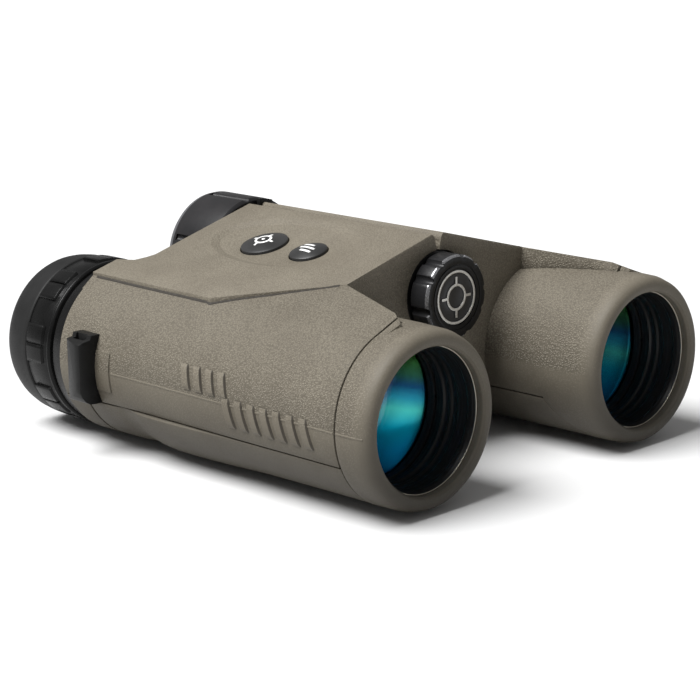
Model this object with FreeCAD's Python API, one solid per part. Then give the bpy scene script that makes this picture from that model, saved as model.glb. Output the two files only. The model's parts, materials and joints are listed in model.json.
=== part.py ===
import FreeCAD, Part
import math
import os

# Rangefinding binocular: two barrels on one central hinge, a battery in the hinge tube,
# a focus wheel behind it and two buttons on the right half's top deck.
# Design frame: Y runs from the objectives (front, y = 0) to the eyepieces, Z is up, z = 0 lies
# on the barrel axes and x = 0 is the hinge plane. The right half is at negative X.
# Every shape is moved by OUT before it is written, so the part's origin is the middle of
# its footprint, on the surface it rests on.

V = FreeCAD.Vector
os.makedirs("parts", exist_ok=True)

# ---- driving dimensions, mm -------------------------------------------------------------
BARREL_X = 37.9          # half of the 75.8 mm eye spacing with the barrels fully open
LENGTH = 132.9           # objective lip to eyecup rim
REST_DEPTH = 22.0        # barrel axis above the surface that the belly pads rest on
HINGE_Z = 18.0           # hinge axis above the barrel axes
OUT = V(0, -LENGTH / 2, REST_DEPTH)

SEAM = 0.55              # open seam between neighbouring skins
RUN = 0.05               # radial running fit

BORE_R = 17.0            # objective opening
LIP_R = 20.3             # flat front of the armour lip ends here
ARMOUR_R = 21.2
REAR_ARMOUR_R = 21.6
CHASSIS_R = 19.3
ARMOUR_IN = 19.4         # inside of the rubber, just clear of the chassis tube
CHASSIS_IN = 17.8
MOUTH_DEPTH = 2.6        # from the lip to the objective sleeve
SLEEVE_SEAM_Y = 10.0     # front end of the side grip and the belly pad
ARMOUR_END = 108.4
INNER_END = 100.0        # the armour stops earlier between the barrels
HOUSING_SEAT = 100.4     # step in the armour's bore, in front of the eyepiece housing

DECK_TILT = 15.2         # degrees down from the ridge
RIDGE_Z = 33.4
DECK_T = 2.0             # measured straight down
DECK_FRONT = 34.4
WALL_T = 1.8
GRIP_SEAM_ANGLE = 23.0   # degrees below the barrel's side

HINGE_TUBE_R = 10.4
HINGE_TUBE_IN = 8.3
KNUCKLE_R = 12.6
KNUCKLE_CLEAR_R = 13.0
WALL_HOLE_R = 10.8
KNUCKLE_SPLITS = (36.5, 51.6, 82.6, 97.8)
TUBE_FRONT = 34.7
TUBE_REAR = 97.6

CAP_FRONT = 28.2
CAP_REAR = 34.0
CAP_R = 10.35
CAP_FACE_R = 9.85
CAP_GROUPS = 5           # each group is a wide and a narrow finger pad
CAP_GROUP_START = 135.0  # degrees from +X, the middle of the first narrow pad
CAP_NOTCH_ANGLE = 14.0   # notches stand this far either side of the narrow pad's middle
CAP_NOTCH_R = 1.15
CAP_STEP_R = 8.0         # fine turned line on the face
BADGE_R = 6.6
SPIGOT_R = 7.9
SEAL_R = 7.78
SEAL_CORD_R = 0.42
SEAL_Y = 36.6

WHEEL_R = 15.95
WHEEL_FRONT = 100.6
WHEEL_REAR = 118.6
WHEEL_GROOVES = 6
WHEEL_GROOVE_START = 38.0
COWL_FRONT = 98.9
SHAFT_R = 3.0
HUB_R = 4.2

RING_R = 20.75           # plain black eyepiece housing
HOUSING_CLEAR_R = 20.85  # inside of the armour round the housing
RING_END = 111.6
DIOPTER_R = 21.5
DIOPTER_FRONT = 114.0
DIOPTER_REAR = 122.0
DIOPTER_STEP = 0.55      # height of the finger pads
DIOPTER_GROUPS = 8       # each group is a pair of pads with a slit between them
DIOPTER_GROUP_START = 7.0
EYECUP_FRONT = 122.3
SLEEVE_R = 17.0

OBJECTIVE_R = 16.0       # 32 mm clear objective
LENS_Y = 17.0

BUTTON_U = 18.8          # buttons, measured out from the hinge plane
RANGE_Y = 76.0
RANGE_R = 6.0
MODE_Y = 60.1
MODE_R = 4.75
BUTTON_GAP = 0.3
BUTTON_SIDE_TOP = -0.35  # top of the button's side, measured from the deck's top face
BUTTON_DOME = 1.0
BUTTON_FOOT = 4.0        # underside of the flange, below the deck's top face
DISH_U = 17.2
DISH_Y = 70.2
DISH_HALF_LENGTH = 23.6  # rim of the thumb dish
DISH_HALF_WIDTH = 13.1
DISH_WALL = 2.2          # width of its sloping wall, seen from above
DISH_DEPTH = 0.9

LUG_FRONT = 93.3
LUG_REAR = 100.4
LUG_OUT = 64.3

SLOPE = math.tan(math.radians(DECK_TILT))
Y_AXIS = V(0, 1, 0)
BIG = 90.0               # larger than the object's cross-section


# ---- helpers ----------------------------------------------------------------------------
def rod(y0, y1, radius, x=0.0, z=0.0):
    """A cylinder along Y."""
    return Part.makeCylinder(radius, y1 - y0, V(x, y0, z), Y_AXIS)


def ring(y0, y1, outer, inner, x=0.0, z=0.0):
    """A tube along Y."""
    return rod(y0, y1, outer, x, z).cut(rod(y0 - 1, y1 + 1, inner, x, z))


def turned(profile, x=0.0, z=0.0):
    """Turn a closed outline of (y, radius) points about the line (x, *, z)."""
    points = [V(x + r, y, z) for y, r in profile]
    wire = Part.makePolygon(points + [points[0]])
    return Part.Face(wire).revolve(V(x, 0, z), Y_AXIS, 360)


def bar_xz(points, y0, y1):
    """Extrude an outline of (u, z) points along Y, where u is measured out from the hinge."""
    corners = [V(-u, y0, z) for u, z in points]
    return Part.Face(Part.makePolygon(corners + [corners[0]])).extrude(V(0, y1 - y0, 0))


def plate_xy(points, z0, z1):
    """Extrude an outline of (u, y) points along Z."""
    corners = [V(-u, y, z0) for u, y in points]
    return Part.Face(Part.makePolygon(corners + [corners[0]])).extrude(V(0, 0, z1 - z0))


def block(u0, u1, y0, y1, z0, z1):
    """A box on the right half, from u0 to u1 out from the hinge."""
    return Part.makeBox(u1 - u0, y1 - y0, z1 - z0, V(-u1, y0, z0))


def fuse_all(shapes):
    """One solid from shapes that overlap."""
    return shapes[0].multiFuse(shapes[1:]).removeSplitter()


def group(shapes):
    """Separate solids that share one node."""
    return Part.makeCompound(shapes)


def mirrored(shape):
    """The same shape on the left half."""
    return shape.mirror(V(0, 0, 0), V(1, 0, 0))


def save(node, shape):
    """Write one node in the part's own frame."""
    solid = shape.copy()
    solid.translate(OUT)
    if len(solid.Solids) == 1:
        solid = solid.Solids[0]
    solid.exportStep("parts/" + node + ".step")
    print(node, len(solid.Solids), solid.isValid(), round(solid.Volume, 1))


def save_pair(name, shape):
    """Write a right-hand node and its mirror image."""
    save("right_" + name, shape)
    save("left_" + name, mirrored(shape))


def deck_z(u):
    """Height of the deck's top face."""
    return RIDGE_Z - SLOPE * u


def on_deck(shape, u, y, sink=0.0):
    """Place a shape built along Z on the right deck, standing square to its top face."""
    placed = shape.copy()
    placed.rotate(V(0, 0, 0), Y_AXIS, -DECK_TILT)
    placed.translate(V(-u, y, deck_z(u) - sink))
    return placed


# ---- armour -----------------------------------------------------------------------------
ARMOUR_OUTLINE = [
    (0.0, LIP_R - 1.6), (0.35, LIP_R - 0.7), (1.1, LIP_R), (3.2, 20.9), (10.0, 21.1),
    (35.0, ARMOUR_R), (80.0, ARMOUR_R), (88.0, 21.4), (96.0, REAR_ARMOUR_R),
    (107.6, REAR_ARMOUR_R), (ARMOUR_END, REAR_ARMOUR_R - 0.6),
]
BELLY_OUTLINE = [
    (0.0, 20.9), (35.0, 21.15), (46.0, 21.3), (58.0, 21.75), (68.0, REST_DEPTH),
    (76.0, REST_DEPTH), (80.0, 21.7), (83.0, 21.1), (86.0, 20.95), (89.0, 21.35),
    (93.0, 21.5), (ARMOUR_END, 21.5),
]
BORE_OUTLINE = [
    (ARMOUR_END, HOUSING_CLEAR_R), (HOUSING_SEAT, HOUSING_CLEAR_R), (HOUSING_SEAT, ARMOUR_IN),
    (MOUTH_DEPTH, ARMOUR_IN), (MOUTH_DEPTH, BORE_R), (0.8, BORE_R), (0.2, BORE_R + 0.5),
]
# crest in front of the deck: y, then (out from the barrel axis, height) of the top edge,
# of the outer tangent point and of the foot of the inner wall
CREST = [
    (ARMOUR_END, (8.6, 20.45), (13.0, 17.0), (8.1, 19.0)),
    (92.0, (8.6, 20.35), (13.0, 16.7), (8.1, 19.0)),
    (64.5, (8.6, 20.3), (13.0, 16.5), (8.1, 19.0)),
    (57.5, (4.6, 21.4), (9.8, 18.3), (4.1, 20.0)),
    (50.0, (0.6, 22.4), (7.3, 19.4), (0.1, 20.5)),
    (DECK_FRONT + 1.0, (-7.6, 25.15), (7.0, 19.9), (-8.3, 19.4)),
    (11.5, (0.1, 23.1), (8.3, 19.4), (-0.9, 21.0)),
    (7.6, (2.3, 21.6), (6.6, 20.0), (1.6, 20.9)),
]
CREST_ROOT = 15.5


def crest():
    """Ridge along the deck's outer edge and from its front corner down to the sleeve."""
    sections = []
    for y, top, outer, foot in CREST:
        loop = [top, outer, (outer[0], CREST_ROOT), (foot[0], CREST_ROOT), foot]
        points = [V(-(BARREL_X + a), y, b) for a, b in loop]
        sections.append(Part.makePolygon(points + [points[0]]))
    return Part.makeLoft(sections, True, True)


def grip_region(grow):
    """Space taken by the side grip: in front of and below it runs an open seam."""
    edge = 30.3 - grow
    plan = [
        (edge, INNER_END), (34.0, INNER_END), (36.0, 101.0), (38.3 - grow, 103.2),
        (39.6 - grow, BIG + 20), (BIG, BIG + 20), (BIG, SLEEVE_SEAM_Y - grow),
        (37.7 - grow, SLEEVE_SEAM_Y - grow), (37.6 - grow, 11.6), (edge, DECK_FRONT),
    ]
    drop = math.tan(math.radians(GRIP_SEAM_ANGLE))
    low = -grow
    section = [
        (edge - 1, low), (BARREL_X, low), (BIG, low - drop * (BIG - BARREL_X)),
        (BIG, BIG), (edge - 1, BIG),
    ]
    return plate_xy(plan, -BIG, BIG).common(bar_xz(section, -1, BIG + 30))


def belly_region(grow):
    """Space taken by the belly pad, below the lower seams, with its front corners cut off."""
    drop = math.tan(math.radians(GRIP_SEAM_ANGLE))
    top = grow - SEAM
    section = [
        (BARREL_X, top), (BIG, top - drop * (BIG - BARREL_X)), (BIG, -BIG),
        (-5.0, -BIG), (-5.0, top - drop * (BARREL_X + 5.0)),
    ]
    front = SLEEVE_SEAM_Y - grow
    corner = 8.0
    plan = [
        (BIG, front), (BARREL_X - 12.0, front), (BARREL_X - 12.0 - corner, front + corner),
        (-5.0, front + corner), (-5.0, INNER_END - 1.0 + grow), (BIG, INNER_END - 1.0 + grow),
    ]
    return plate_xy(plan, -BIG, BIG).common(bar_xz(section, 0, BIG + 30))


SKIN_OUTLINE = [(22.0, -10.5), (19.2, -10.0), (7.0, 3.0), (8.9, 4.0), (20.2, -7.9), (23.0, -8.2)]
PAD_LENGTH = 5.2         # faint raised panel in front of the strap lug
PAD_RISE = 0.15
PAD_HALF_HEIGHT = 5.0


def barrel_core():
    """Space inside the rubber of the right barrel."""
    return rod(-1, BIG + 30, ARMOUR_IN, -BARREL_X)


def barrel_envelope():
    """Everything the rubber armour covers on the right half, still in one piece."""
    shell = turned(ARMOUR_OUTLINE + BORE_OUTLINE, -BARREL_X)
    housing_space = rod(HOUSING_SEAT, BIG + 30, HOUSING_CLEAR_R, -BARREL_X)
    body = shell.fuse(crest().cut(barrel_core()).cut(housing_space))
    # between the barrels the armour stops at the deck's rear edge
    rear = plate_xy([
        (-5.0, INNER_END), (34.0, INNER_END), (36.0, 101.0), (38.3, 103.2),
        (39.6, ARMOUR_END + 1), (-5.0, ARMOUR_END + 1)], 0.0, BIG)
    low_rear = plate_xy([
        (-5.0, INNER_END), (BARREL_X, INNER_END), (BARREL_X, ARMOUR_END + 1),
        (-5.0, ARMOUR_END + 1)], -BIG, 0.01)
    return body.cut(rear).cut(low_rear)


def main_armour(envelope):
    """Front sleeve, inner side of the barrel and the skin under the bridge."""
    skin = bar_xz(SKIN_OUTLINE, DECK_FRONT + WALL_T, INNER_END - WALL_T).cut(barrel_core())
    body = envelope.fuse(skin).cut(web_block())
    return body.cut(grip_region(SEAM)).cut(belly_region(SEAM))


def side_grip(envelope):
    """Outer panel from the crest down to the lower seam."""
    body = envelope.common(grip_region(0.0))
    panel = ring(LUG_FRONT - PAD_LENGTH, LUG_FRONT, REAR_ARMOUR_R + PAD_RISE, ARMOUR_R - 1.0,
                 -BARREL_X)
    side = block(BARREL_X, BIG, 0, BIG + 30, -PAD_HALF_HEIGHT, PAD_HALF_HEIGHT)
    return body.fuse(panel.common(side)).removeSplitter()


def belly_pad():
    """Underside pad with the finger dent near its rear end."""
    outline = BELLY_OUTLINE + [(ARMOUR_END, ARMOUR_IN), (0.0, ARMOUR_IN)]
    return turned(outline, -BARREL_X).common(belly_region(0.0))


# ---- deck and buttons -------------------------------------------------------------------
DECK_PLAN = [
    (0.0, DECK_FRONT), (30.5, DECK_FRONT), (47.5, 63.5), (47.4, ARMOUR_END),
    (39.7, ARMOUR_END), (38.4, 103.0), (36.0, 101.0), (34.0, INNER_END), (0.0, INNER_END),
]
DECK_LIMIT = 50.0
# end walls, with the flare that opens the gap between the halves towards the ridge
WALL_OUTLINE = [
    (0.5, 28.0), (0.6, 29.4), (0.8, 30.5), (1.15, 31.5), (1.6, 32.2), (30.5, 24.4), (34.0, 0.0),
    (24.0, -9.0), (19.2, -10.0), (7.0, 3.0), (1.0, 16.4), (0.5, HINGE_Z),
]
RIDGE_ARC = ((1.0, DECK_T), (1.3, 0.95), (2.1, 0.0))   # u and depth below the deck's top face


def deck_slab():
    """Sloping top plate with its rounded ridge."""
    arc = Part.Arc(*[V(-u, 0, deck_z(u) - depth) for u, depth in RIDGE_ARC])
    ridge = RIDGE_ARC[-1][0]
    inner = RIDGE_ARC[0][0]
    side = [
        V(-ridge, 0, deck_z(ridge)), V(-DECK_LIMIT, 0, deck_z(DECK_LIMIT)),
        V(-DECK_LIMIT, 0, deck_z(DECK_LIMIT) - DECK_T), V(-inner, 0, deck_z(inner) - DECK_T),
    ]
    edges = [arc.toShape()]
    for start, end in zip(side, side[1:]):
        edges.append(Part.LineSegment(start, end).toShape())
    slab = Part.Face(Part.Wire(Part.sortEdges(edges)[0])).extrude(V(0, BIG + 30, 0))
    return slab.common(plate_xy(DECK_PLAN, -5, BIG))


def deck(notch):
    """Top cover: the plate with the front and rear walls of the bridge in one piece."""
    front = bar_xz(WALL_OUTLINE, DECK_FRONT, DECK_FRONT + WALL_T)
    rear = bar_xz(WALL_OUTLINE, INNER_END - WALL_T, INNER_END - 0.2)
    rear = rear.cut(rod(COWL_FRONT - 0.1, BIG + 30, WHEEL_R + 0.1, 0, HINGE_Z))
    barrel = turned([(y, r + RUN) for y, r in ARMOUR_OUTLINE] + [(ARMOUR_END, 0.0), (0.0, 0.0)],
                    -BARREL_X)
    body = deck_slab().fuse(front).fuse(rear)
    body = body.cut(barrel).cut(crest()).cut(rod(0, BIG + 30, WALL_HOLE_R, 0, HINGE_Z))
    if notch:
        body = body.cut(rod(COWL_FRONT - 0.1, BIG + 30, WHEEL_R + 0.1, 0, HINGE_Z))
    return max(body.Solids, key=lambda solid: solid.Volume)


def thumb_dish():
    """Oval hollow with a flat floor and a sloping wall, carried on above the deck."""
    layers = []
    for height, grow in ((-DISH_DEPTH, -DISH_WALL), (DISH_DEPTH, DISH_WALL)):
        oval = Part.Ellipse(V(0, DISH_HALF_LENGTH + grow, height), V(DISH_HALF_WIDTH + grow, 0, height),
                            V(0, 0, height))
        layers.append(Part.Wire(oval.toShape()))
    return on_deck(Part.makeLoft(layers, True, True), DISH_U, DISH_Y)


def right_deck():
    """The right deck carries the dish and both button holes."""
    body = deck(False).cut(thumb_dish())
    for y, radius in ((RANGE_Y, RANGE_R), (MODE_Y, MODE_R)):
        hole = Part.makeCylinder(radius + BUTTON_GAP, 2 * BUTTON_FOOT, V(0, 0, -BUTTON_FOOT))
        body = body.cut(on_deck(hole, BUTTON_U, y))
    return body


def button(y, radius):
    """Domed push button with a flange that keeps it under the deck."""
    sphere_r = (radius ** 2 + BUTTON_DOME ** 2) / (2 * BUTTON_DOME)
    top = BUTTON_SIDE_TOP + BUTTON_DOME
    stem = Part.makeCylinder(radius, BUTTON_FOOT + top, V(0, 0, -BUTTON_FOOT))
    dome = Part.makeSphere(sphere_r, V(0, 0, top - sphere_r))
    flange = Part.makeCylinder(radius + 1.0, 0.8, V(0, 0, -BUTTON_FOOT))
    return on_deck(stem.common(dome).fuse(flange).removeSplitter(), BUTTON_U, y)


def switches():
    """Two tact switches on the board, one under each button."""
    size = 4.5
    case_top = -BUTTON_FOOT - 1.6
    parts = []
    for y in (RANGE_Y, MODE_Y):
        case = Part.makeBox(size, size, 2.8, V(-size / 2, -size / 2, case_top - 2.8))
        nib = Part.makeCylinder(1.6, 0.7, V(0, 0, case_top))
        parts.append(on_deck(case.fuse(nib).removeSplitter(), BUTTON_U, y))
    return group(parts)


# ---- chassis and hinge ------------------------------------------------------------------
WEB_OUTLINE = [
    (9.5, 28.7), (30.0, 23.1), (30.0, 16.5), (34.0, 0.0), (26.0, -6.0), (20.9, -7.3), (9.4, 4.6),
    (8.3, 7.6), (8.3, 12.0),
]
POCKET = (14.2, 25.6, 41.0, 93.0, 17.2)      # u0, u1, y0, y1, floor
BUTTON_WELL = (10.1, 26.4, 51.0, 85.2, 23.9)  # wider room for the buttons' flanges


def web_block():
    """Solid bridge between the barrel tube and the hinge."""
    return bar_xz(WEB_OUTLINE, KNUCKLE_SPLITS[0], KNUCKLE_SPLITS[-1] - 0.1)


def knuckles(own):
    """Hinge knuckles in the spans whose index is in own."""
    spans = list(zip(KNUCKLE_SPLITS, KNUCKLE_SPLITS[1:]))
    return [rod(y0 + 0.2, y1 - 0.2, KNUCKLE_R, 0, HINGE_Z) for y0, y1 in
            (spans[i] for i in own)]


def chassis(own, bore_r):
    """Cast alloy frame: barrel tube, web to the hinge and this half's knuckles."""
    web = web_block()
    spans = list(zip(KNUCKLE_SPLITS, KNUCKLE_SPLITS[1:]))
    for index, (y0, y1) in enumerate(spans):
        if index not in own:
            web = web.cut(rod(y0 - 0.2, y1 + 0.2, KNUCKLE_CLEAR_R, 0, HINGE_Z))
    web = web.cut(rod(0, BIG + 30, HINGE_TUBE_R + 1.0, 0, HINGE_Z))
    for u0, u1, y0, y1, floor in (POCKET, BUTTON_WELL):
        web = web.cut(block(u0, u1, y0, y1, floor, BIG))
    tube = rod(8.2, INNER_END, CHASSIS_R, -BARREL_X)
    body = tube.fuse(web)
    for knuckle in knuckles(own):
        body = body.fuse(knuckle)
    body = body.cut(rod(0, BIG + 30, CHASSIS_IN, -BARREL_X))
    body = body.cut(rod(0, BIG + 30, bore_r, 0, HINGE_Z))
    return body.removeSplitter()


def hinge_tube():
    """Hollow hinge pin: battery bay in front of a bulkhead, focus screw behind it."""
    bulkhead = rod(73.0, 75.0, HINGE_TUBE_IN + 1.0, 0, HINGE_Z)
    tube = ring(TUBE_FRONT, TUBE_REAR, HINGE_TUBE_R, HINGE_TUBE_IN, 0, HINGE_Z)
    return tube.fuse(bulkhead).removeSplitter()


def hinge_washers():
    """Friction washers between the knuckles."""
    return group([ring(y - 0.18, y + 0.18, 12.2, HINGE_TUBE_R + 0.03, 0, HINGE_Z)
                  for y in KNUCKLE_SPLITS[1:3]])


# ---- battery ----------------------------------------------------------------------------
def battery_cap():
    """Cap with notched finger pads, a threaded spigot and a recessed face."""
    outline = [
        (CAP_FRONT, 0.0), (CAP_FRONT, CAP_FACE_R), (CAP_FRONT + 0.4, CAP_R - 0.1),
        (CAP_FRONT + 0.7, CAP_R), (CAP_REAR - 0.4, CAP_R), (CAP_REAR, CAP_R - 0.4),
        (CAP_REAR, SPIGOT_R), (40.2, SPIGOT_R), (40.2, 0.0),
    ]
    body = turned(outline, 0, HINGE_Z)
    body = body.cut(ring(SEAL_Y - 0.5, SEAL_Y + 0.5, BIG, SEAL_R - SEAL_CORD_R, 0, HINGE_Z))
    for index in range(CAP_GROUPS):
        for offset in (-CAP_NOTCH_ANGLE, CAP_NOTCH_ANGLE):
            angle = math.radians(CAP_GROUP_START + offset + index * 360.0 / CAP_GROUPS)
            x = (CAP_R + 0.3) * math.cos(angle)
            z = HINGE_Z + (CAP_R + 0.3) * math.sin(angle)
            body = body.cut(rod(CAP_FRONT - 1, CAP_REAR + 1, CAP_NOTCH_R, x, z))
    recess = rod(CAP_FRONT - 1, CAP_FRONT + 0.9, BADGE_R + 0.3, 0, HINGE_Z)
    line = ring(CAP_FRONT - 1, CAP_FRONT + 0.2, CAP_STEP_R + 0.15, CAP_STEP_R - 0.15, 0, HINGE_Z)
    return body.cut(recess).cut(line).removeSplitter()


def cap_badge():
    """Plain ring and cross-hair disc set into the cap."""
    base = rod(CAP_FRONT + 0.45, CAP_FRONT + 0.9, BADGE_R + 0.25, 0, HINGE_Z)
    rim = ring(CAP_FRONT + 0.1, CAP_FRONT + 0.6, BADGE_R, BADGE_R - 0.6, 0, HINGE_Z)
    inner = ring(CAP_FRONT + 0.1, CAP_FRONT + 0.6, 3.3, 2.7, 0, HINGE_Z)
    marks = []
    for index in range(4):
        bar = Part.makeBox(0.6, 0.5, 2.2, V(-0.3, CAP_FRONT + 0.1, HINGE_Z + 2.8))
        bar.rotate(V(0, 0, HINGE_Z), Y_AXIS, 90.0 * index)
        marks.append(bar)
    return fuse_all([base, rim, inner] + marks)


def cap_seal():
    """O-ring on the cap's spigot."""
    profile = Part.makeCircle(SEAL_CORD_R, V(SEAL_R, SEAL_Y, HINGE_Z), V(0, 0, 1))
    face = Part.Face(Part.Wire(profile))
    return face.revolve(V(0, 0, HINGE_Z), Y_AXIS, 360)


def battery():
    """CR2 lithium cell, 15.6 mm across and 27 mm long, with its raised contact."""
    cell = rod(41.0, 67.2, 7.8, 0, HINGE_Z)
    nub = rod(67.2, 68.0, 3.2, 0, HINGE_Z)
    return cell.fuse(nub).removeSplitter()


def contact_plate():
    """Sprung contact against the bulkhead."""
    plate = rod(72.2, 73.0, 7.4, 0, HINGE_Z)
    post = rod(68.0, 72.2, 2.2, 0, HINGE_Z)
    return plate.fuse(post).removeSplitter()


# ---- focus drive ------------------------------------------------------------------------
def focus_wheel():
    """Grooved wheel with a rounded rear rim, a hub and the screwed shaft's socket."""
    outline = [
        (WHEEL_FRONT, HUB_R), (WHEEL_FRONT, WHEEL_R - 0.7), (WHEEL_FRONT + 0.7, WHEEL_R),
        (115.6, WHEEL_R), (117.0, WHEEL_R - 0.35), (118.0, WHEEL_R - 1.1),
        (WHEEL_REAR, WHEEL_R - 2.3), (WHEEL_REAR, 10.6), (117.6, 10.0), (117.6, HUB_R),
    ]
    body = turned(outline, 0, HINGE_Z)
    for index in range(WHEEL_GROOVES):
        angle = math.radians(WHEEL_GROOVE_START + index * 360.0 / WHEEL_GROOVES)
        x = (WHEEL_R + 0.25) * math.cos(angle)
        z = HINGE_Z + (WHEEL_R + 0.25) * math.sin(angle)
        body = body.cut(rod(WHEEL_FRONT - 1.0, 115.0, 0.9, x, z))
    return body.removeSplitter()


def focus_shaft():
    """Screwed shaft from the wheel's hub into the hinge tube."""
    return rod(76.0, 117.6, SHAFT_R, 0, HINGE_Z).fuse(
        rod(WHEEL_FRONT, 117.6, HUB_R, 0, HINGE_Z)).removeSplitter()


def wheel_cap():
    """Disc that closes the wheel's rear face."""
    return rod(117.7, 118.4, 9.7, 0, HINGE_Z)


def wheel_cowl():
    """Small black hood on the left deck, in front of the wheel."""
    hood = ring(COWL_FRONT, INNER_END + 0.1, WHEEL_R - 0.05, KNUCKLE_CLEAR_R + 0.1, 0, HINGE_Z)
    wedge = bar_xz([(0.6, HINGE_Z + 8), (0.6, BIG), (6.0, BIG), (5.0, HINGE_Z + 8)], 90, 110)
    return hood.common(wedge)


# ---- optics -----------------------------------------------------------------------------
def lens(y, radius, edge, front_rise, rear_rise):
    """Disc whose faces bulge by the given rises (a negative rise is hollow)."""
    reach = edge / 2 + 3.0
    body = rod(y - reach, y + reach, radius, -BARREL_X)
    for side, rise in ((-1, front_rise), (1, rear_rise)):
        depth = abs(rise)
        curve = (radius ** 2 + depth ** 2) / (2 * depth)
        rim_y = y + side * edge / 2
        if rise > 0:
            ball = Part.makeSphere(curve, V(-BARREL_X, rim_y + side * (rise - curve), 0))
            body = body.common(ball)
        else:
            ball = Part.makeSphere(curve, V(-BARREL_X, rim_y + side * (curve - depth), 0))
            trim = rod(y - edge / 2, y + edge / 2, radius + 1, -BARREL_X)
            body = body.common(trim).cut(ball)
    return body


def objective_sleeve():
    """Black tube behind the lip with stepped anti-glare rings."""
    outline = [(MOUTH_DEPTH + 0.1, CHASSIS_R), (8.0, CHASSIS_R), (8.0, CHASSIS_IN - 0.1),
               (LENS_Y - 2.2, CHASSIS_IN - 0.1)]
    steps = [(14.6, 16.35), (12.6, 16.35), (12.2, 15.95), (11.6, 16.45), (10.4, 16.45),
             (10.0, 16.1), (9.4, 16.55), (8.2, 16.55), (7.8, 16.25), (5.2, 16.7),
             (4.8, 16.4), (MOUTH_DEPTH + 0.5, 16.75), (MOUTH_DEPTH + 0.1, 16.95)]
    return turned(outline + steps, -BARREL_X)


def retaining_ring():
    """Slotted ring that holds the objective."""
    body = ring(LENS_Y - 2.0, LENS_Y, CHASSIS_IN - 0.1, OBJECTIVE_R, -BARREL_X)
    for side in (-1, 1):
        x = -BARREL_X + side * (OBJECTIVE_R + 0.8)
        body = body.cut(rod(LENS_Y - 3.0, LENS_Y - 1.0, 0.6, x, 0))
    return body


def objective_cell():
    """Seat behind the objective."""
    return ring(22.8, 26.0, CHASSIS_IN - 0.1, OBJECTIVE_R, -BARREL_X)


def focus_cell():
    """Sliding cell of the focusing lens."""
    return ring(36.0, 44.0, 17.2, 13.0, -BARREL_X)


def prism_cage():
    """Cage that holds both prisms in the barrel."""
    body = ring(52.0, 92.0, CHASSIS_IN - 0.1, 16.2, -BARREL_X)
    for y in (52.0, 90.5):
        body = body.fuse(ring(y, y + 1.5, 16.4, 12.0, -BARREL_X))
    return body.removeSplitter()


def prism(y0, points):
    """A glass block from an outline of (height, y) points."""
    width = 18.0
    corners = [V(-BARREL_X - width / 2, y0 + y, z) for z, y in points]
    return Part.Face(Part.makePolygon(corners + [corners[0]])).extrude(V(width, 0, 0))


def eyepiece_housing():
    """Plain black ring behind the armour, a lip and the tube that carries the eyecup."""
    outline = [
        (INNER_END + 0.5, RING_R), (RING_END, RING_R), (RING_END + 0.3, 19.9),
        (RING_END + 0.9, 19.9), (RING_END + 1.1, RING_R + 0.1), (RING_END + 1.6, RING_R + 0.5),
        (DIOPTER_FRONT - 0.3, RING_R + 0.5), (DIOPTER_FRONT - 0.3, SLEEVE_R), (127.4, SLEEVE_R),
        (127.4, 15.2), (98.2, 15.2), (98.2, CHASSIS_IN - 0.1), (INNER_END + 0.5, CHASSIS_IN - 0.1),
    ]
    return turned(outline, -BARREL_X)


def diopter_ring():
    """Ring with pairs of raised finger pads that trims one eye's focus."""
    base_r = DIOPTER_R - DIOPTER_STEP
    body = ring(DIOPTER_FRONT, DIOPTER_REAR, base_r, 18.9, -BARREL_X)
    front = DIOPTER_FRONT + 1.3
    pads = turned([
        (front, base_r - 0.3), (front, base_r + 0.1), (front + 0.5, DIOPTER_R),
        (DIOPTER_REAR - 0.3, DIOPTER_R), (DIOPTER_REAR, DIOPTER_R - 0.3),
        (DIOPTER_REAR, base_r - 0.3)])
    pitch = 360.0 / DIOPTER_GROUPS
    for index in range(DIOPTER_GROUPS):
        middle = DIOPTER_GROUP_START + pitch * index - 90.0
        for width, turn in ((0.5, middle), (7.0, middle + pitch / 2)):
            gap = Part.makeBox(width, 12.0, 3.0, V(-width / 2, DIOPTER_FRONT - 1.0, base_r - 0.6))
            gap.rotate(V(0, 0, 0), Y_AXIS, turn)
            pads = pads.cut(gap)
    pads.translate(V(-BARREL_X, 0, 0))
    return body.fuse(pads).removeSplitter()


def eyecup():
    """Rubber eyecup with the skirt that slides on the eyepiece tube."""
    outline = [
        (EYECUP_FRONT, 17.3), (EYECUP_FRONT, 20.9), (EYECUP_FRONT + 0.4, 21.2), (126.0, 21.05),
        (128.5, 20.75), (130.3, 20.3), (131.6, 19.7), (132.5, 19.0), (LENGTH, 18.4),
        (LENGTH, 18.0), (132.6, 17.6), (131.8, 17.4), (130.4, 17.3),
    ]
    skirt = ring(DIOPTER_FRONT + 0.6, EYECUP_FRONT + 1, 18.5, 17.3, -BARREL_X)
    return turned(outline, -BARREL_X).fuse(skirt).removeSplitter()


# the lug seen from the front (out, height) and from above (out, y), and its strap slot
LUG_SIDE = [
    (57.0, 8.7), (60.4, 8.7), (60.7, 7.7), (63.2, 7.3), (64.0, 6.9), (LUG_OUT, 6.1),
    (LUG_OUT, -3.6), (64.1, -5.0), (63.6, -6.4), (62.7, -7.6), (61.5, -8.3), (60.0, -8.5),
    (57.0, -8.5),
]
LUG_PLAN = [
    (57.0, LUG_FRONT), (63.4, LUG_FRONT), (64.1, LUG_FRONT + 0.3), (LUG_OUT, LUG_FRONT + 0.9),
    (64.1, LUG_FRONT + 2.2), (62.9, LUG_REAR - 0.7), (62.4, LUG_REAR - 0.1), (61.8, LUG_REAR),
    (57.0, LUG_REAR),
]
LUG_SLOT = (59.9, 61.6, 94.9, 99.0)


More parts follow.
